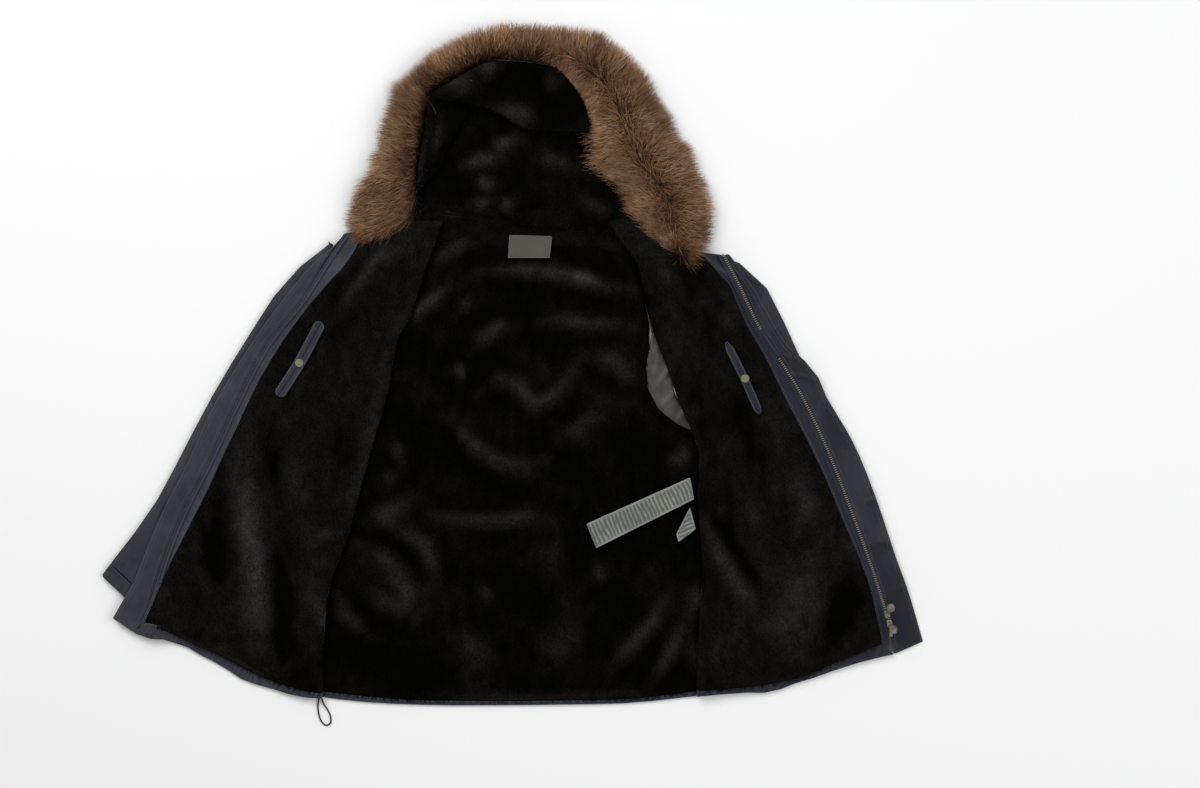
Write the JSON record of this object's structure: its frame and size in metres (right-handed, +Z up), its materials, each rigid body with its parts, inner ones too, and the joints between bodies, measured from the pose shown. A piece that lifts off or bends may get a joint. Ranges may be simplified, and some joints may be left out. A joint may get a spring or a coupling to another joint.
{
  "type": "fur trimmed parka, opened out flat",
  "caption": "Hip length parka laid open on its back: hood with fur trim, pile lining, padded sleeves under the fronts, zip with two swinging pull tabs, hem drawcord.",
  "frame": {"origin": "on the floor under the middle of the laid-out parka's footprint, cord left out", "axes": "+X across the open fronts to the side with the exposed zip, +Y from the hem towards the hood, +Z up out of the lining"},
  "size_m": [1.318, 1.1067, 0.0576],
  "materials": {
    "navy_shell": "fine dark navy twill with a dull sheen",
    "pile_lining": "black short pile, quilted and soft",
    "satin_lining": "grey satin",
    "fur": "long brown fur with paler tips",
    "ribbed_webbing": "grey ribbed webbing",
    "label_cloth": "grey woven label, bare",
    "zip_tape": "navy woven tape",
    "bronze_hardware": "aged bronze, satin",
    "cord": "black braided cord"
  },
  "bodies": {
    "garment": {"back_shell": "navy_shell", "back_lining": "pile_lining", "hem_band_back": "navy_shell", "sleeve_left": "navy_shell", "sleeve_right": "navy_shell", "cuff_left": "navy_shell", "cuff_right": "navy_shell", "sleeve_lining_right": "satin_lining", "hood_shell": "navy_shell", "hood_lining": "pile_lining", "hood_side_left": "pile_lining", "hood_crown": "pile_lining", "fur_trim_left": "fur", "fur_trim_top": "fur", "fur_trim_right": "fur", "front_shell_left": "navy_shell", "front_lining_left": "pile_lining", "facing_left": "navy_shell", "storm_flap_left": "navy_shell", "hem_band_left": "navy_shell", "front_shell_right": "navy_shell", "front_lining_right": "pile_lining", "facing_right": "navy_shell", "storm_flap_right": "navy_shell", "hem_band_right": "navy_shell", "pocket_welt_left": "navy_shell", "pocket_welt_right": "navy_shell", "pocket_snap_left": "bronze_hardware", "pocket_snap_right": "bronze_hardware", "neck_label": "label_cloth", "carry_strap": "ribbed_webbing", "carry_strap_end": "ribbed_webbing", "zip_tape_left": "zip_tape", "zip_tape_right": "zip_tape", "zip_teeth_right": "bronze_hardware", "zip_slider_upper": "bronze_hardware", "zip_slider_lower": "bronze_hardware", "zip_bridge_upper": "bronze_hardware", "zip_bridge_lower": "bronze_hardware", "zip_bottom_stop": "bronze_hardware", "hem_drawcord": "cord"},
    "tab_upper": {"zip_tab_upper": "bronze_hardware"},
    "tab_lower": {"zip_tab_lower": "bronze_hardware"}
  },
  "joints": [
    {"name": "tab_upper_swing", "type": "hinge", "parent": "garment", "child": "tab_upper", "pos_m": [0.59904, -0.38831, 0.03831], "axis": [0.891, -0.454, 0], "range_deg": [0, 100]},
    {"name": "tab_lower_swing", "type": "hinge", "parent": "garment", "child": "tab_lower", "pos_m": [0.60256, -0.40237, 0.03831], "axis": [-0.866, -0.5, 0], "range_deg": [0, 100]}
  ]
}
